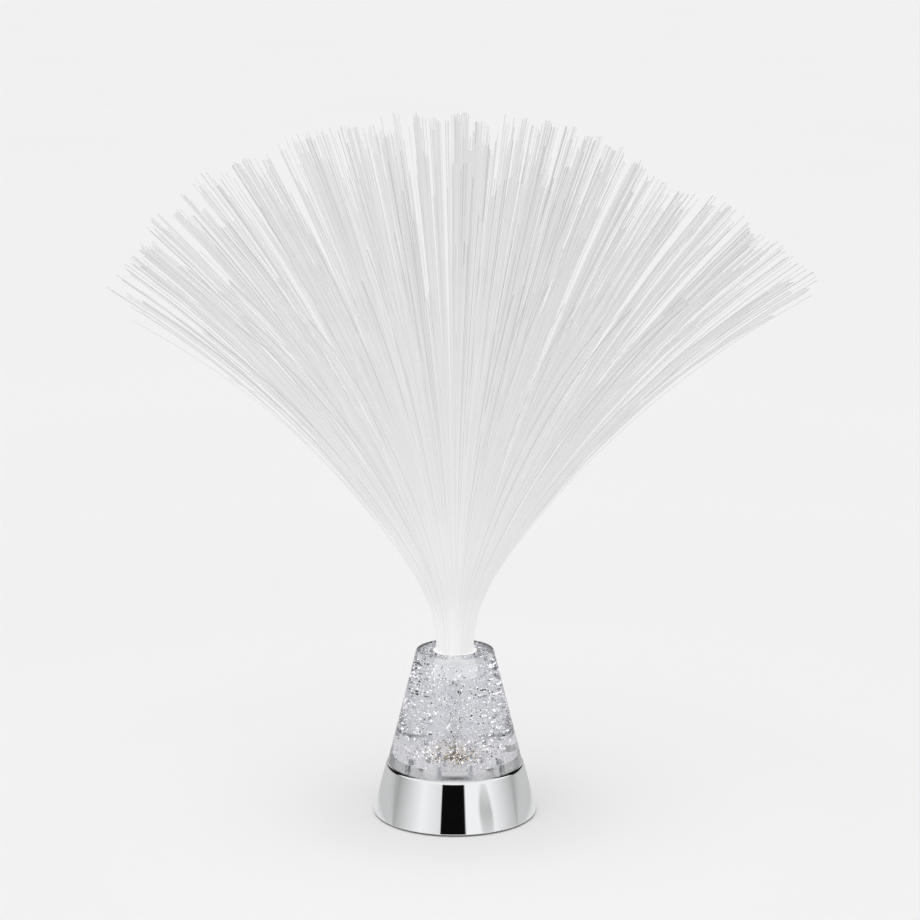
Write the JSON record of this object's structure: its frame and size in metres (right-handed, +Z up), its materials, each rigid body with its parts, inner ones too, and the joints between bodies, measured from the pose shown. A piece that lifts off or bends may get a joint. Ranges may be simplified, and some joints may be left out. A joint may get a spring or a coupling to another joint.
{
  "type": "fiber optic lamp",
  "caption": "Battery table lamp: a spray of optical fibres fans out of a clear cone of glitter liquid that stands on a tapered chrome base with an underside slide switch.",
  "frame": {"origin": "centre of the base on the surface that the lamp stands on", "axes": "+Z up along the middle of the fibre bundle, +X towards the slide switch, +Y towards the battery door's screw"},
  "size_m": [0.3438, 0.3438, 0.3303],
  "materials": {
    "chrome_plating": "polished",
    "black_plastic": "satin",
    "foot_rubber": "matte",
    "screw_steel": "satin",
    "cell_jacket": "satin",
    "contact_steel": "satin",
    "knob_plastic": "satin",
    "board_laminate": "satin",
    "led_epoxy": "gloss",
    "chip_epoxy": "satin",
    "clear_plastic": "gloss",
    "glitter_liquid": "gloss",
    "white_plastic": "gloss",
    "potting_resin": "gloss",
    "fibre_plastic": "gloss",
    "wire_red": "satin",
    "wire_white": "satin",
    "wire_black": "satin"
  },
  "bodies": {
    "base": {"base_shell": "chrome_plating", "base_plate": "black_plastic", "foot_pads": "foot_rubber", "plate_screws": "screw_steel", "chamber_screws": "screw_steel", "board_screws": "screw_steel", "battery_1": "cell_jacket", "battery_2": "cell_jacket", "battery_3": "cell_jacket", "contact_spring_1": "contact_steel", "contact_spring_2": "contact_steel", "contact_spring_3": "contact_steel", "terminal_plus": "contact_steel", "terminal_minus": "contact_steel", "bridge_plate_1": "contact_steel", "bridge_plate_2": "contact_steel", "switch_case": "contact_steel", "circuit_board": "board_laminate", "led_red": "led_epoxy", "led_green": "led_epoxy", "led_blue": "led_epoxy", "controller_chip": "chip_epoxy", "resistors": "chip_epoxy", "cone_shell": "clear_plastic", "chamber_floor": "clear_plastic", "glitter_fluid": "glitter_liquid", "filler_plug": "white_plastic", "wire_red": "wire_red", "wire_white": "wire_white", "wire_black": "wire_black"},
    "fibre_bundle": {"bundle_sleeve": "white_plastic", "bundle_potting": "potting_resin", "fibre_core": "fibre_plastic", "fibre_ring_1": "fibre_plastic", "fibre_ring_2": "fibre_plastic", "fibre_ring_3": "fibre_plastic", "fibre_ring_4": "fibre_plastic", "fibre_ring_5": "fibre_plastic", "fibre_ring_6": "fibre_plastic"},
    "switch_knob": {"switch_knob": "knob_plastic"},
    "battery_door": {"battery_door": "black_plastic"},
    "door_screw": {"door_screw": "screw_steel"}
  },
  "joints": [
    {"name": "bundle_lift", "type": "slide", "parent": "base", "child": "fibre_bundle", "axis": [0, 0, 1], "range_m": [0, 0.03]},
    {"name": "switch_slide", "type": "slide", "parent": "base", "child": "switch_knob", "axis": [0, 1, 0], "range_m": [0, 0.003]},
    {"name": "battery_door_drop", "type": "slide", "parent": "base", "child": "battery_door", "axis": [0, 0, -1], "range_m": [0, 0.015]},
    {"name": "door_screw_out", "type": "slide", "parent": "battery_door", "child": "door_screw", "axis": [0, 0, -1], "range_m": [0, 0.0065]}
  ]
}
